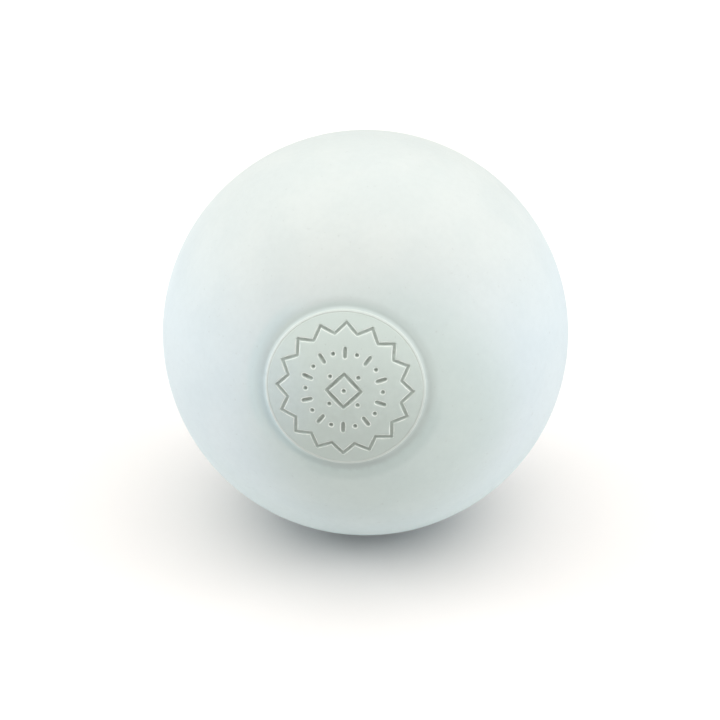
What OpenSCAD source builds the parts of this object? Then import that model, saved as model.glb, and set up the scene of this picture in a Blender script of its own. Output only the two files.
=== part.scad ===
// Lacrosse ball of solid rubber: a moulded core, and a cover of the same rubber that is
// pressed and cured onto it in two halves, then ground round.
// A round plaque with a raised rim is moulded into the front half, in a ring-shaped dip.
// The origin is the ball's centre. +Z is up, and the plaque faces -Y and a little upwards.

/* [Ball] */
// Diameter over the ground surface of the cover
ball_d = 63.5; // [50:0.1:80]
// Thickness of the cover over the core
cover_wall = 6.35; // [3:0.05:12]
// Depth of the fine groove along the parting line of the two halves
parting_depth = 0.08; // [0.02:0.01:0.4]

/* [Plaque] */
// Diameter over the rim
plaque_d = 23.8; // [12:0.1:34]
// Angle by which the plaque is turned up from level
plaque_tilt = 14; // [-90:1:90]
// Depth of the plaque's domed floor below the ball's surface
plaque_sink = 0.25; // [0.15:0.01:0.6]
// Width of the rounded rim
rim_w = 0.4; // [0.2:0.05:1]
// Height of the rim over the floor beside it
rim_rise = 0.06; // [0.03:0.01:0.14]
// Distance from the rim out to its foot, at the bottom of the dip
rim_lean = 0.45; // [0.2:0.05:0.8]
// Width of the dip, from the rim out to where the ball's surface begins to fall
dip_w = 2.2; // [1.4:0.1:4]
// Depth of the dip at the foot of the rim
dip_depth = 0.45; // [0.3:0.05:0.8]

/* [Hidden] */
$fn = 180;

ball_r = ball_d / 2;
core_r = ball_r - cover_wall;
plaque_r = plaque_d / 2;
floor_r = ball_r - plaque_sink;
// Arcs and lines that would only touch cross by this much
overlap = 0.0005;

// The rim is a round bead, whose centre lies half its width inside the plaque's edge
rim_r = rim_w / 2;
rim_x = plaque_r - rim_r;
rim_z = sqrt(pow(floor_r + rim_rise - rim_r, 2) - pow(rim_x, 2));

// The dip's outer side is one arc, which leaves the ball's surface tangentially
foot_x = plaque_r + rim_lean;
dip_x = plaque_r + dip_w;
shoulder_w = dip_x - foot_x;
shoulder_r = (pow(shoulder_w, 2) + pow(dip_depth, 2)) / (2 * dip_depth);
shoulder_angle = asin(dip_x / ball_r);
shoulder_x = (ball_r + overlap - shoulder_r) * sin(shoulder_angle);
shoulder_z = (ball_r + overlap - shoulder_r) * cos(shoulder_angle);
foot_z = shoulder_z + sqrt(pow(shoulder_r, 2) - pow(shoulder_x - foot_x, 2));

// The rim's outer side is a straight flank, which rises from its foot until it touches the bead.
// Below its foot it runs on as far again, down to its toe inside the shoulder.
bead = [rim_x, rim_z];
foot = [foot_x, foot_z];
flank = foot - bead;
touch_r = rim_r - overlap;
touch_angle = atan2(flank.y, flank.x) + acos(touch_r / norm(flank));
touch = bead + touch_r * [cos(touch_angle), sin(touch_angle)];
toe = 2 * foot - touch;

cover_colour = "#eaf0ee";
core_colour = "#d5d8d2";

// Turns a shape about +Z so that its +Z looks out of the plaque
module face_plaque() {
    rotate([90 - plaque_tilt, 0, 0]) children();
}

// Section of the plaque: the domed floor inside the rim, the rim's flank and its round bead
module plaque_section() {
    intersection() {
        circle(r = floor_r);
        square([rim_x, ball_r]);
    }
    polygon([[0, 0], [toe.x, 0], toe, touch, bead, [0, rim_z]]);
    translate(bead) circle(r = rim_r);
}

// Section of what the mould keeps clear round the plaque, over its floor and down to the dip
module dip_section() {
    difference() {
        translate([0, shoulder_z]) square([dip_x, ball_r]);
        translate([shoulder_x, shoulder_z]) circle(r = shoulder_r);
        plaque_section();
    }
}

// Section of half the cover, from the parting line up to the pole
module half_cover_section() {
    difference() {
        intersection() {
            circle(r = ball_r);
            square(ball_r);
        }
        circle(r = core_r);
        translate([ball_r, 0]) rotate(45) square(parting_depth * sqrt(2), center = true);
    }
}

module core() {
    color(core_colour) sphere(r = core_r);
}

module front_cover() {
    color(cover_colour) face_plaque() rotate_extrude() difference() {
        half_cover_section();
        dip_section();
    }
}

module rear_cover() {
    color(cover_colour) face_plaque() mirror([0, 0, 1]) rotate_extrude() half_cover_section();
}

core();
front_cover();
rear_cover();
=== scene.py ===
# A lacrosse ball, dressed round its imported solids: the ground rubber cover in two halves,
# the moulded plaque with its sunk marks, and a soft white studio. Lengths are in metres.
import bpy
from math import acos, asin, atan2, cos, hypot, pi, radians, sin, sqrt
from mathutils import Matrix, Vector


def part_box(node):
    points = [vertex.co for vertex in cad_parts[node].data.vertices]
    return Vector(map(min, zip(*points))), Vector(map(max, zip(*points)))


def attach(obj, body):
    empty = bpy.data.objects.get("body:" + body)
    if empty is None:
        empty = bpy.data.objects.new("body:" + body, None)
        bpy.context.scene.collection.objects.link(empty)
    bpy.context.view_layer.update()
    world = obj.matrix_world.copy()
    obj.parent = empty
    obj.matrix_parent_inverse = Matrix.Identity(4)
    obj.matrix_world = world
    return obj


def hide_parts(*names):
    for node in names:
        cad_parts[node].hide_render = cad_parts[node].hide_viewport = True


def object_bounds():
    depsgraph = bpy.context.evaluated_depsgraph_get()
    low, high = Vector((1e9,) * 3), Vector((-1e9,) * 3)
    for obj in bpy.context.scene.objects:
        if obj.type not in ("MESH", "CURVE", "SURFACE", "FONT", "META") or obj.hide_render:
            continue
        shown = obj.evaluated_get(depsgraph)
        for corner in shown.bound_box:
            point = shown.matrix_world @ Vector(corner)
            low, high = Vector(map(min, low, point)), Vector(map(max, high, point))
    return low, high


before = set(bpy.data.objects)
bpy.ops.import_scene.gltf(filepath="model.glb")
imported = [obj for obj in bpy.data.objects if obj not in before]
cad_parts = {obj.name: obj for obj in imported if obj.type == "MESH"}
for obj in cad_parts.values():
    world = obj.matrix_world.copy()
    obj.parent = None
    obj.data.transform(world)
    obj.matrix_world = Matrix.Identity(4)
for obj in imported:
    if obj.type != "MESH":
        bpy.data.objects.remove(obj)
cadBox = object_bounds()

mm = 0.001
hair = 0.01 * mm               # for telling places apart
ballR = max(cadBox[1])
coreR = max(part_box("core")[1])
print("frame loaded: ball radius", round(ballR / mm, 3), "mm, core radius", round(coreR / mm, 3), "mm")


# Selecting and shaping

def deselectAll():
    bpy.ops.object.select_all(action="DESELECT")


def activate(piece):
    deselectAll()
    piece.select_set(True)
    bpy.context.view_layer.objects.active = piece


def editing(on):
    bpy.ops.object.mode_set(mode="EDIT" if on else "OBJECT")


def bakePlace(piece):  # the object ends at the origin, unturned and unscaled
    activate(piece)
    bpy.ops.object.transform_apply(location=True, rotation=True, scale=True)


def selectVerts(piece, keep):  # picks corners by their place, in edit mode
    bpy.ops.mesh.select_mode(type="VERT")
    bpy.ops.mesh.select_all(action="DESELECT")
    editing(False)
    for vert in piece.data.vertices:
        vert.select = keep(vert.co)
    editing(True)


def joinInto(piece, others):
    activate(piece)
    for other in others:
        other.select_set(True)
    bpy.ops.object.join()


def applyModifier(piece, kind, **settings):
    activate(piece)
    modifier = piece.modifiers.new(kind.title(), kind)
    for setting, value in settings.items():
        setattr(modifier, setting, value)
    bpy.ops.object.modifier_apply(modifier=modifier.name)


# Camera: at the photo's angle, a long lens well back from the ball

camera = dict(
    azimuth=6.1,               # degrees
    elevation=30.22,
    distance=18 * ballR,
    ballPixels=202.8,          # the ball's radius in the photo
    ballAt=(365.5, 332.6),     # its centre there, from the top left corner
    framePixels=720,
    sensor=36,                 # millimetres, as the lens is
    clip=(0.01, 20),           # metres
)


def aimed(azimuth, elevation):  # azimuth 0 looks along -Y, and 90 along +X
    az, el = radians(azimuth), radians(elevation)
    return Vector((sin(az) * cos(el), -cos(az) * cos(el), sin(el)))


def addCamera():
    back = aimed(camera["azimuth"], camera["elevation"])
    turn = (-back).to_track_quat("-Z", "Y")
    focalPixels = camera["ballPixels"] * sqrt((camera["distance"] / ballR) ** 2 - 1)
    perPixel = camera["distance"] / focalPixels
    middle = camera["framePixels"] / 2
    left = (camera["ballAt"][0] - middle) * perPixel
    down = (middle - camera["ballAt"][1]) * perPixel
    aim = turn @ Vector((-left, -down, 0))
    place = back * camera["distance"]
    deselectAll()
    bpy.ops.object.camera_add(location=place, rotation=(aim - place).to_track_quat("-Z", "Y").to_euler())
    made = bpy.context.object
    made.data.sensor_width = camera["sensor"]
    made.data.lens = camera["sensor"] * focalPixels / camera["framePixels"]
    made.data.clip_start, made.data.clip_end = camera["clip"]
    bpy.context.scene.camera = made


addCamera()
print("camera placed")


# The cover: half balls round the core's hollow, made with the plaque's axis along +Z

cover = dict(
    segments=256,              # round the plaque's axis
    rings=160,                 # from pole to pole
    partingDepth=0.08 * mm,
    partingSteps=2,
    creaseAngle=radians(26),   # sharper edges than this stay crisp
)


def addHalfBall(radius, top=None):  # the upper half, open below, and open above height top if it is given
    deselectAll()
    bpy.ops.mesh.primitive_uv_sphere_add(segments=cover["segments"], ring_count=cover["rings"], radius=radius)
    half = bpy.context.object
    editing(True)
    bpy.ops.mesh.select_all(action="SELECT")
    bpy.ops.mesh.bisect(plane_co=(0, 0, 0), plane_no=(0, 0, 1), clear_inner=True, threshold=hair)
    if top:
        bpy.ops.mesh.select_all(action="SELECT")
        bpy.ops.mesh.bisect(plane_co=(0, 0, top), plane_no=(0, 0, 1), clear_outer=True, threshold=hair)
    editing(False)
    return half


def closeHalf(shell):  # sets the core's hollow into a half ball and bridges the two at the parting line
    hollow = addHalfBall(coreR)
    editing(True)
    bpy.ops.mesh.select_all(action="SELECT")
    bpy.ops.mesh.flip_normals()
    editing(False)
    joinInto(shell, [hollow])
    editing(True)
    selectVerts(shell, lambda co: co.z < hair)
    bpy.ops.mesh.bridge_edge_loops()
    selectVerts(shell, lambda co: co.z < hair and co.xy.length > ballR - hair)
    bpy.ops.mesh.bevel(offset=cover["partingDepth"], offset_type="OFFSET", segments=cover["partingSteps"])
    editing(False)


# The plaque: a domed floor inside a round rim, in a dip that leaves the ball tangentially

plaque = dict(
    radius=11.9 * mm,
    tilt=radians(14),          # turned up from level
    sink=0.25 * mm,
    rimW=0.4 * mm,
    rimRise=0.06 * mm,
    rimLean=0.45 * mm,         # how far the rim's foot lies outside it
    rimRound=0.1 * mm,         # where the rim meets the floor
    footRound=0.25 * mm,
    roundSteps=4,
    dipW=2.2 * mm,
    dipDepth=0.45 * mm,
    dipSteps=10,
    rimSteps=10,
    floorSpan=64,              # quads across the floor
)
floorR = ballR - plaque["sink"]
plaqueAxis = Vector((0, -cos(plaque["tilt"]), sin(plaque["tilt"])))


def arcPoints(centre, radius, start, end, steps):  # (distance from the axis, height) along an arc
    turn = (end - start) / steps
    return [(centre[0] + radius * cos(start + i * turn), centre[1] + radius * sin(start + i * turn))
            for i in range(steps + 1)]


def plaqueProfile():  # the dip's arc, from the ball down to the rim's foot, and the rim's arc
    footX = plaque["radius"] + plaque["rimLean"]
    dipX = plaque["radius"] + plaque["dipW"]
    shoulderR = ((dipX - footX) ** 2 + plaque["dipDepth"] ** 2) / (2 * plaque["dipDepth"])
    lean = asin(dipX / ballR)
    shoulder = ((ballR - shoulderR) * sin(lean), (ballR - shoulderR) * cos(lean))
    low = acos((footX - shoulder[0]) / shoulderR)
    dip = arcPoints(shoulder, shoulderR, pi / 2 - lean, low, plaque["dipSteps"])
    rimR = plaque["rimW"] / 2
    rimX = plaque["radius"] - rimR
    rimZ = sqrt((floorR + plaque["rimRise"] - rimR) ** 2 - rimX ** 2)
    # the rim's arc starts where a straight flank from its foot touches it
    footZ = dip[-1][1]
    start = atan2(footZ - rimZ, footX - rimX) + acos(rimR / hypot(footX - rimX, footZ - rimZ))
    # and ends where it meets the floor, which is floorR from the ball's centre
    far = hypot(rimX, rimZ)
    opening = acos((floorR ** 2 - far ** 2 - rimR ** 2) / (2 * far * rimR))
    rim = arcPoints((rimX, rimZ), rimR, start, atan2(rimZ, rimX) + opening, plaque["rimSteps"])
    return dip, rim


def roundRing(face, point, width):  # rounds the edge that runs round the axis at that point of the profile
    editing(True)
    selectVerts(face, lambda co: abs(co.z - point[1]) < hair and abs(co.xy.length - point[0]) < hair)
    bpy.ops.mesh.bevel(offset=width, offset_type="OFFSET", segments=plaque["roundSteps"])
    editing(False)


def addPlaque(dip, rim):
    deselectAll()
    bpy.ops.mesh.primitive_circle_add(vertices=cover["segments"], radius=dip[0][0],
                                      location=(0, 0, dip[0][1]))
    face = bpy.context.object
    bakePlace(face)
    editing(True)
    bpy.ops.mesh.select_all(action="SELECT")
    last = dip[0]
    for point in dip[1:] + rim:
        grow = point[0] / last[0]
        bpy.ops.mesh.extrude_region_move()
        bpy.ops.transform.resize(value=(grow, grow, 1), center_override=(0, 0, 0))
        bpy.ops.transform.translate(value=(0, 0, point[1] - last[1]))
        last = point
    bpy.ops.mesh.fill_grid(span=plaque["floorSpan"])
    bpy.ops.mesh.select_all(action="SELECT")
    bpy.ops.mesh.normals_make_consistent(inside=False)
    editing(False)
    domed = face.vertex_groups.new(name="floor")
    domed.add([v.index for v in face.data.vertices if v.co.xy.length < last[0] - hair], 1.0, "REPLACE")
    applyModifier(face, "CAST", factor=1.0, size=floorR, use_radius_as_size=False, vertex_group="floor")
    face.vertex_groups.clear()
    roundRing(face, dip[-1], plaque["footRound"])
    roundRing(face, rim[-1], plaque["rimRound"])
    return face


# Sunk marks on the plaque's floor: a zigzag ring, a ring of bars and dots, and a lozenge

marks = dict(
    above=0.05 * mm,           # from the floor up to a cutter's upright top, which is as high again
    corners=20,                # round both ends of a mark together
    flare=1.1,                 # a cutter's width up there, as a share of its width at the floor
    section=(                  # shares of half the width and of the depth, down a mark's side
        (1, 0),
        (0.72, 0.13),
        (0.56, 0.45),
        (0.46, 0.76),
        (0.32, 0.95),
        (0.15, 1),
    ),
    zigzag=dict(inner=8.6 * mm, outer=10.3 * mm, strokes=32, width=0.86 * mm, depth=0.30 * mm),
    ring=dict(radius=5.8 * mm, bars=10, length=2.2 * mm, width=1.0 * mm, depth=0.36 * mm, dot=1.0 * mm),
    lozenge=dict(half=2.6 * mm, width=0.96 * mm, depth=0.36 * mm, dot=1.0 * mm, dotRadius=3.0 * mm),
)


def modelCutter(length, width, depth):  # a round-ended bar along +X, as wide as the mark at the floor's level
    above = marks["above"]
    halfW = marks["flare"] * width / 2
    run = length - width  # between the middles of its ends
    halfL = halfW + run / 2
    deselectAll()
    bpy.ops.mesh.primitive_cylinder_add(vertices=marks["corners"], radius=halfW, depth=above,
                                        location=(0, 0, above + above / 2))
    bar = bpy.context.object
    bakePlace(bar)
    editing(True)
    for side in (1, -1):
        selectVerts(bar, lambda co: side * co.x > hair)
        bpy.ops.transform.translate(value=(side * run / 2, 0, 0))
    bpy.ops.mesh.select_mode(type="FACE")
    bpy.ops.mesh.select_all(action="DESELECT")
    editing(False)
    for face in bar.data.polygons:
        face.select = face.normal.z < -0.9  # the lower end
    editing(True)
    level = above
    for widthShare, depthShare in marks["section"]:
        inward = halfW - widthShare * width / 2
        bpy.ops.mesh.extrude_region_move()
        bpy.ops.transform.resize(value=(1 - inward / halfL, 1 - inward / halfW, 1), center_override=(0, 0, 0))
        bpy.ops.transform.translate(value=(0, 0, -depthShare * depth - level))
        halfL -= inward
        halfW -= inward
        level = -depthShare * depth
    editing(False)
    return bar


def placeCopy(bar, x, y, heading):  # a copy of the cutter on the domed floor, turned to its heading there
    copy = bar.copy()
    copy.data = bar.data.copy()
    bpy.context.collection.objects.link(copy)
    point = Vector((x, y, sqrt(floorR ** 2 - x ** 2 - y ** 2)))
    up = point.normalized()
    side = up.cross(Vector((cos(heading), sin(heading), 0))).normalized()
    along = side.cross(up)
    copy.matrix_world = Matrix.Translation(point) @ Matrix((along, side, up)).transposed().to_4x4()
    bakePlace(copy)
    return copy


def strokeBetween(bar, start, end):
    middle = (start + end) / 2
    run = end - start
    return placeCopy(bar, middle.x, middle.y, atan2(run.y, run.x))


def onRing(radius, angle):
    return Vector((radius * cos(angle), radius * sin(angle)))


def addZigzag(mark):
    step = 2 * pi / mark["strokes"]
    chord = (onRing(mark["outer"], step) - onRing(mark["inner"], 0)).length
    bar = modelCutter(chord + mark["width"], mark["width"], mark["depth"])
    strokes = []
    for i in range(mark["strokes"]):
        angle = pi / 2 + i * step
        near, far = (mark["inner"], mark["outer"]) if i % 2 else (mark["outer"], mark["inner"])
        strokes.append(strokeBetween(bar, onRing(near, angle), onRing(far, angle + step)))
    bpy.data.objects.remove(bar)
    return strokes


def addRing(mark):  # bars that point to the middle, with a dot after each
    bar = modelCutter(mark["length"], mark["width"], mark["depth"])
    dot = modelCutter(mark["dot"], mark["dot"], mark["depth"])
    placed = []
    for i in range(2 * mark["bars"]):
        angle = pi / 2 + i * pi / mark["bars"]
        spot = onRing(mark["radius"], angle)
        placed.append(placeCopy(dot if i % 2 else bar, spot.x, spot.y, angle))
    bpy.data.objects.remove(bar)
    bpy.data.objects.remove(dot)
    return placed


def addLozenge(mark):  # one lozenge with a dot in it and four round it
    bar = modelCutter(sqrt(2) * mark["half"] + mark["width"], mark["width"], mark["depth"])
    dot = modelCutter(mark["dot"], mark["dot"], mark["depth"])
    placed = [strokeBetween(bar, onRing(mark["half"], i * pi / 2), onRing(mark["half"], (i + 1) * pi / 2))
              for i in range(4)]
    placed.append(placeCopy(dot, 0, 0, 0))
    for i in range(4):
        spot = onRing(mark["dotRadius"], (i + 0.5) * pi / 2)
        placed.append(placeCopy(dot, spot.x, spot.y, 0))
    bpy.data.objects.remove(bar)
    bpy.data.objects.remove(dot)
    return placed


def joinAll(pieces):
    joinInto(pieces[0], pieces[1:])
    return pieces[0]


def sinkMarks(shell):  # neighbours overlap, so every second cutter goes into the other set
    cutters = addZigzag(marks["zigzag"]) + addRing(marks["ring"]) + addLozenge(marks["lozenge"])
    first = joinAll(cutters[0::2])
    second = joinAll(cutters[1::2])
    applyModifier(first, "BOOLEAN", operation="UNION", object=second, solver="MANIFOLD")
    applyModifier(shell, "BOOLEAN", operation="DIFFERENCE", object=first, solver="MANIFOLD")
    bpy.data.objects.remove(first)
    bpy.data.objects.remove(second)


def facePlaque(piece):  # turns +Z to look out of the plaque
    piece.rotation_euler = (pi / 2 - plaque["tilt"], 0, 0)
    bakePlace(piece)


def finishHalf(piece, name, node):
    facePlaque(piece)
    activate(piece)
    bpy.ops.object.shade_smooth_by_angle(angle=cover["creaseAngle"])
    piece.name = name
    piece.data.name = name
    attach(piece, "root")
    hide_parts(node)


dip, rim = plaqueProfile()
frontCover = addHalfBall(ballR, dip[0][1])
joinInto(frontCover, [addPlaque(dip, rim)])
editing(True)
bpy.ops.mesh.select_all(action="SELECT")
bpy.ops.mesh.remove_doubles(threshold=hair)
editing(False)
closeHalf(frontCover)
print("front half closed:", len(frontCover.data.polygons), "faces")
sinkMarks(frontCover)
print("marks sunk:", len(frontCover.data.polygons), "faces")
finishHalf(frontCover, "cover_front_rubber", "front_cover")

rearCover = addHalfBall(ballR)
closeHalf(rearCover)
rearCover.rotation_euler = (pi, 0, 0)
bakePlace(rearCover)
finishHalf(rearCover, "cover_rear_rubber", "rear_cover")
print("rear half closed:", len(rearCover.data.polygons), "faces")


# Shader sums: a Signal is one output socket, and a sum on it adds a Math node

class Signal:
    def __init__(self, sheet, socket):
        self.sheet = sheet
        self.socket = socket

    def maths(self, operation, *values):
        return self.sheet.node("ShaderNodeMath", dict(operation=operation), dict(enumerate(values)))

    def root(self):
        return self.maths("SQRT", self)

    def __add__(self, other):
        return self.maths("ADD", self, other)

    def __radd__(self, other):
        return self.maths("ADD", other, self)

    def __sub__(self, other):
        return self.maths("SUBTRACT", self, other)

    def __rsub__(self, other):
        return self.maths("SUBTRACT", other, self)

    def __mul__(self, other):
        return self.maths("MULTIPLY", self, other)

    def __rmul__(self, other):
        return self.maths("MULTIPLY", other, self)


class Finish:  # one material and its sheet of nodes
    def __init__(self, name):
        self.material = bpy.data.materials.new(name)
        self.material.use_nodes = True
        self.tree = self.material.node_tree
        self.tree.nodes.clear()

    def node(self, kind, settings, sockets, output=0):
        made = self.tree.nodes.new(kind)
        for setting, value in settings.items():
            setattr(made, setting, value)
        for socket, value in sockets.items():
            if isinstance(value, Signal):
                self.tree.links.new(value.socket, made.inputs[socket])
            else:
                made.inputs[socket].default_value = value
        return Signal(self, made.outputs[output]) if made.outputs else None

    def place(self):
        return self.node("ShaderNodeTexCoord", {}, {}, "Object")

    def vector(self, operation, sockets):  # one number from a Vector Math node
        return self.node("ShaderNodeVectorMath", dict(operation=operation), sockets, "Value")

    def noise(self, size, detail=3.0, roughness=0.5):  # size is that of one lump
        return self.node("ShaderNodeTexNoise", {}, {"Vector": self.place(), "Scale": 1 / size,
                         "Detail": detail, "Roughness": roughness}, "Fac")

    def ramp(self, value, span, ends=(0.0, 1.0)):  # ends are what it gives at the two ends of the span
        return self.node("ShaderNodeMapRange", dict(interpolation_type="SMOOTHSTEP"),
                         {"Value": value, "From Min": span[0], "From Max": span[1],
                          "To Min": ends[0], "To Max": ends[1]})

    def spot(self, place, aim, reach):  # 1 where the ball faces aim, and fading out over reach, in degrees
        towards = self.vector("DOT_PRODUCT", {0: place, 1: aimed(*aim)})
        near, far = reach
        return self.ramp(towards, (ballR * cos(radians(far)), ballR * cos(radians(near))))

    def bump(self, strength, depth, relief):
        return self.node("ShaderNodeBump", {}, {"Strength": strength, "Distance": depth, "Height": relief},
                         "Normal")

    def shade(self, colour, rough, bump):  # ends the sheet
        shader = self.node("ShaderNodeBsdfPrincipled", {}, {"Base Color": colour, "Roughness": rough,
                           "Normal": bump, "IOR": 1.5})
        self.node("ShaderNodeOutputMaterial", {}, {"Surface": shader})
        return self.material

    def tint(self, factor, first, second, blend="MIX"):
        return self.node("ShaderNodeMix", dict(data_type="RGBA", blend_type=blend),
                         {"Factor": factor, 6: first, 7: second}, 2)


def rgb(red, green, blue):
    return (red, green, blue, 1.0)


# Ground white rubber, with the as-moulded skin left inside the dip
# Depths lie below the ball's surface, levels run along the plaque's axis, and shares are of the noise

rubber = dict(
    ground=rgb(0.654, 0.735, 0.768),
    groundTopLight=rgb(0.65, 0.695, 0.685),
    topLightHeights=(6 * mm, 26 * mm),         # where the one turns into the other; painted light: warmer and a little darker at the top, for the colour of the light from above
    # painted light: lighter and bluer towards the bottom, for light thrown up from the floor
    groundLowLight=rgb(0.675, 0.775, 0.785),
    lowLightHeights=(-4 * mm, -24 * mm),
    frontShade=rgb(0.59, 0.676, 0.658),         # painted shade: the ground rubber darker and greener round the plaque, on the front that faces away from the lights
    frontShadeAim=(12, 3),                      # azimuth and elevation of its middle
    frontShadeReach=(18, 48),                   # degrees from there, over which it fades
    brinkShades=(                              # painted shade along the dip's outer edge; these multiply it there: colour, aim and reach
        (rgb(0.90, 0.92, 0.92), (14, -12), (12, 30)),
        (rgb(0.93, 0.97, 0.975), (-28, 18), (10, 26)),
    ),
    brinkShadeLevels=(27.7 * mm, 28.4 * mm),
    patch=rgb(0.965, 0.975, 0.98),        # multiplies it in faint clouds
    patchSize=9 * mm,
    patchShares=(0.35, 0.65),
    mottle=rgb(0.98, 0.98, 0.98),         # and in small lumps
    mottleSize=1.1 * mm,
    mottleShares=(0.3, 0.7),
    skin=rgb(0.642, 0.729, 0.697),        # as moulded, in the dip and on the plaque
    skinDepths=(0.02 * mm, 0.24 * mm),
    skinWander=0.2 * mm,                  # how far its edge wanders with the lumps
    skinShadeLow=rgb(0.505, 0.580, 0.552),     # painted shade: the skin darker towards the plaque's lower side
    skinShadeHeights=(16 * mm, -3 * mm),
    heightWander=9 * mm,
    plaqueLevels=(29.02 * mm, 29.17 * mm),  # halfway up the rim's outer side
    dip=rgb(0.95, 0.955, 0.98),           # painted shade: darkens the skin outside the rim, in the dip
    dipShadeLow=rgb(0.87, 0.875, 0.90),        # painted shade, deeper under the plaque
    dipShadeHeights=(-2.5 * mm, -4.6 * mm),
    dipLeftLight=rgb(1.07, 1.12, 1.14),           # painted light: lighter and bluer, for light from the left, multiplying it again at the dip's lower left
    dipLeftLightAim=(-23, -2),
    dipLeftLightReach=(8, 25),
    rim=rgb(0.64, 0.68, 0.66),            # the rim's worn top
    rimDepths=(0.20 * mm, 0.235 * mm),
    rimStrength=0.7,
    rimShadeSpared=0.2,                         # the share of the lower side's painted shade that it is spared
    creaseLight=rgb(1.14, 1.13, 1.13),         # painted light: lightens the skin just inside the rim, on its upper side, against the shade in the crease there
    creaseInner=(11.46 * mm, 11.54 * mm),  # from the plaque's axis
    creaseOuter=(11.66 * mm, 11.74 * mm),
    creaseHeights=(4 * mm, 9 * mm),
    left=rgb(0.99, 1.0, 1.055),           # painted light: bluer, for light from the left, multiplying all the skin towards its left
    skinLeftLightAim=(-27, 9),
    skinLeftLightReach=(6, 24),
    lipHighlight=rgb(0.88, 0.92, 0.89),            # painted highlight on the marks' edges
    lipHighlightDepths=(0.252 * mm, 0.262 * mm),
    lipHighlightEnds=(0.30 * mm, 0.35 * mm),
    lipHighlightLeast=0.35,
    dustAndShade=rgb(0.36, 0.40, 0.37),           # dust and painted shade at the bottom of the marks
    dustAndShadeDepths=(0.32 * mm, 0.64 * mm),
    dustAndShadeLeast=0.6,
    unevenShares=(0.3, 0.6),              # the lumps over which the painted edge highlight and the dust and painted shade in the marks rise from their least
    speck=rgb(0.45, 0.48, 0.47),
    speckSize=0.55 * mm,
    speckShares=(0.735, 0.78),
    speckStrength=0.22,
    speckSink=0.8,                        # against the grain's height
    grainSize=0.28 * mm,
    swellSize=1.6 * mm,
    swell=0.5,
    smooth=0.6,                           # the share of the grain that the skin lacks
    bump=0.35,
    bumpDepth=0.02 * mm,
    groundRough=0.62,
    skinRough=0.48,
    grainRough=0.1,
)


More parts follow.
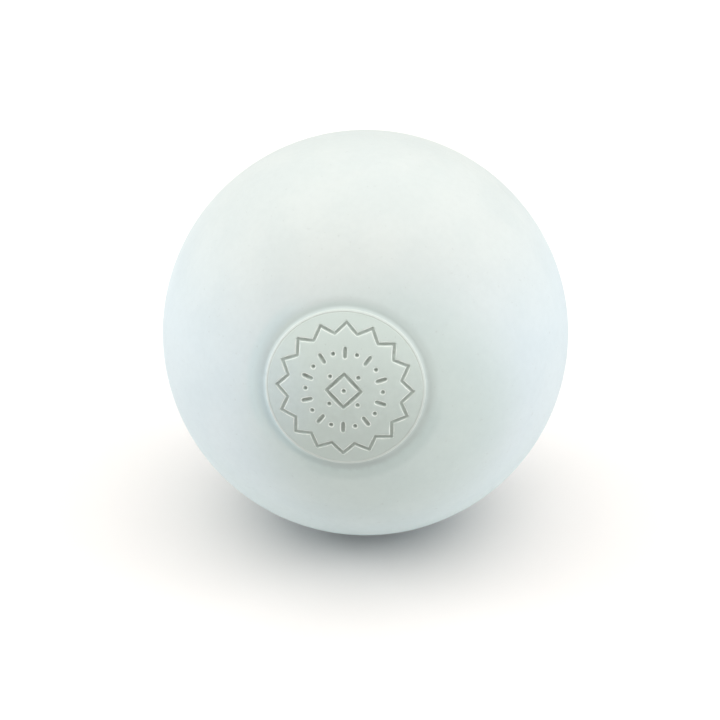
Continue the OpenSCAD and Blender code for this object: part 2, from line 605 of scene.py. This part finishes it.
def coverFinish():
    look = Finish("white_rubber")
    place = look.place()
    far = look.vector("LENGTH", {0: place})
    sunk = ballR - far
    height = look.node("ShaderNodeSeparateXYZ", {}, {0: place}, "Z")
    outward = look.vector("DOT_PRODUCT", {0: place, 1: plaqueAxis})
    aside = (far * far - outward * outward).root()  # from the plaque's axis
    onPlaque = look.ramp(outward, rubber["plaqueLevels"])
    mottle = look.noise(rubber["mottleSize"], 4.0, 0.6)
    grain = look.noise(rubber["grainSize"], 3.0, 0.6)
    specks = look.ramp(look.noise(rubber["speckSize"], 1.0), rubber["speckShares"])

    # painted light: the ground warmer at the top, for the colour of the light from above
    ground = look.tint(look.ramp(height, rubber["topLightHeights"]), rubber["ground"], rubber["groundTopLight"])
    # painted light: the ground lighter towards the bottom, for light thrown up from the floor
    ground = look.tint(look.ramp(height, rubber["lowLightHeights"]), ground, rubber["groundLowLight"])
    # painted shade round and below the plaque, on the front that faces away from the lights
    ground = look.tint(look.spot(place, rubber["frontShadeAim"], rubber["frontShadeReach"]), ground, rubber["frontShade"])
    # painted shade along the dip's outer edge
    brinkShade = look.ramp(outward, rubber["brinkShadeLevels"])
    for tone, aim, reach in rubber["brinkShades"]:
        ground = look.tint(brinkShade * look.spot(place, aim, reach), ground, tone, "MULTIPLY")
    patches = look.ramp(look.noise(rubber["patchSize"], 4.0), rubber["patchShares"])
    ground = look.tint(patches, ground, rubber["patch"], "MULTIPLY")
    ground = look.tint(look.ramp(mottle, rubber["mottleShares"]), ground, rubber["mottle"], "MULTIPLY")

    # the plaque is skin all over
    skinMask = look.ramp(sunk + (mottle - 0.5 + onPlaque) * rubber["skinWander"], rubber["skinDepths"])
    rim = onPlaque * look.ramp(sunk, rubber["rimDepths"], (1.0, 0.0))
    # painted shade: the skin darker towards the plaque's lower side
    low = look.ramp(height + (mottle - 0.5) * rubber["heightWander"], rubber["skinShadeHeights"])
    # painted shade in the dip, deeper under the plaque
    dip = look.tint(look.ramp(height, rubber["dipShadeHeights"]), rubber["dip"], rubber["dipShadeLow"])
    # painted light from the left, at the dip's lower left
    dipLeftLight = look.spot(place, rubber["dipLeftLightAim"], rubber["dipLeftLightReach"])
    dip = look.tint(dipLeftLight, dip, rubber["dipLeftLight"], "MULTIPLY")
    skin = look.tint(low * (1 - rim * rubber["rimShadeSpared"]), rubber["skin"], rubber["skinShadeLow"])
    skin = look.tint(1 - onPlaque, skin, dip, "MULTIPLY")
    # painted light: the skin bluer towards its left, for light from the left
    left = look.spot(place, rubber["skinLeftLightAim"], rubber["skinLeftLightReach"])
    skin = look.tint(left, skin, rubber["left"], "MULTIPLY")
    # painted highlight along the marks' edges
    lipHighlight = onPlaque * look.ramp(sunk, rubber["lipHighlightDepths"]) * look.ramp(sunk, rubber["lipHighlightEnds"], (1.0, 0.0))
    lipHighlight = lipHighlight * look.ramp(mottle, rubber["unevenShares"], (rubber["lipHighlightLeast"], 1.0))
    skin = look.tint(lipHighlight, skin, rubber["lipHighlight"])
    skin = look.tint(rim * rubber["rimStrength"], skin, rubber["rim"])
    # painted light in the crease just inside the rim, on its upper side
    creaseLight = look.ramp(aside, rubber["creaseInner"]) * look.ramp(aside, rubber["creaseOuter"], (1.0, 0.0))
    creaseLight = creaseLight * look.ramp(height, rubber["creaseHeights"])
    skin = look.tint(creaseLight, skin, rubber["creaseLight"], "MULTIPLY")

    colour = look.tint(skinMask, ground, skin)
    # dust and painted shade at the bottom of the marks
    dustAndShade = onPlaque * look.ramp(sunk, rubber["dustAndShadeDepths"])
    dustAndShade = dustAndShade * look.ramp(mottle, rubber["unevenShares"], (rubber["dustAndShadeLeast"], 1.0))
    colour = look.tint(dustAndShade, colour, rubber["dustAndShade"])
    colour = look.tint(specks * rubber["speckStrength"], colour, rubber["speck"])
    rough = rubber["groundRough"] - skinMask * (rubber["groundRough"] - rubber["skinRough"])
    rough = rough + grain * rubber["grainRough"]
    relief = grain * (1 - skinMask * rubber["smooth"]) - specks * rubber["speckSink"]
    relief = relief + look.noise(rubber["swellSize"], 2.0) * rubber["swell"]
    return look.shade(colour, rough, look.bump(rubber["bump"], rubber["bumpDepth"], relief))


crumb = dict(                  # the core's coarse rubber, which shows only when the ball is cut open
    pale=rgb(0.60, 0.62, 0.58),
    dark=rgb(0.50, 0.52, 0.49),
    size=1.4 * mm,
    shares=(0.4, 0.7),
    rough=0.7,
    roughRise=0.15,
    bump=0.5,
    bumpDepth=0.1 * mm,
)


def coreFinish():
    look = Finish("core_rubber")
    crumbs = look.ramp(look.noise(crumb["size"], 5.0, 0.65), crumb["shares"])
    colour = look.tint(crumbs, crumb["pale"], crumb["dark"])
    rough = crumbs * crumb["roughRise"] + crumb["rough"]
    return look.shade(colour, rough, look.bump(crumb["bump"], crumb["bumpDepth"], crumbs))


def dress(piece, material):
    if not piece.material_slots:
        piece.data.materials.append(material)
    for part in piece.material_slots:
        part.material = material


coverRubber = coverFinish()
dress(frontCover, coverRubber)
dress(rearCover, coverRubber)
dress(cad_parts["core"], coreFinish())
print("materials on")


# Studio: a white floor and soft lights overhead, at both sides and behind, on a white ground

studio = dict(
    floorSize=3.0,
    floorColour=rgb(0.875, 0.852, 0.847),
    lights=dict(               # azimuth, elevation and width in degrees; strength in red, green and blue
        top=(0, 90, 100, (3.36, 3.30, 3.15)),
        left=(-90, 15, 40, (1.36, 1.41, 1.45)),
        right=(90, 15, 40, (1.27, 1.31, 1.35)),
        backLeft=(-120, 50, 60, (0.12, 0.12, 0.12)),
        backRight=(120, 50, 60, (0.27, 0.26, 0.27)),
    ),
)


def addFloor():
    deselectAll()
    bpy.ops.mesh.primitive_plane_add(size=studio["floorSize"], location=(0, 0, -ballR))
    floor = bpy.context.object
    bakePlace(floor)
    floor.name = "floor"
    look = Finish("white_floor")
    shader = look.node("ShaderNodeBsdfDiffuse", {}, {"Color": studio["floorColour"]})
    look.node("ShaderNodeOutputMaterial", {}, {"Surface": shader})
    dress(floor, look.material)


def addBackground():  # seen by the camera alone, so that it lights nothing
    world = bpy.data.worlds.new("background")
    bpy.context.scene.world = world
    world.use_nodes = True
    nodes, links = world.node_tree.nodes, world.node_tree.links
    background = nodes["Background"]
    background.inputs["Color"].default_value = rgb(1, 1, 1)
    rays = nodes.new("ShaderNodeLightPath")
    links.new(rays.outputs["Is Camera Ray"], background.inputs["Strength"])


def addLight(name, azimuth, elevation, spread, strength):
    deselectAll()
    turn = (-aimed(azimuth, elevation)).to_track_quat("-Z", "Y")
    bpy.ops.object.light_add(type="SUN", rotation=turn.to_euler())
    light = bpy.context.object
    light.name = name
    light.data.angle = radians(spread)
    light.data.energy = max(strength)
    light.data.color = [part / max(strength) for part in strength]


addFloor()
addBackground()
for name, look in studio["lights"].items():
    addLight(name, *look)
bpy.context.scene.view_settings.view_transform = "Standard"
print("studio lit")
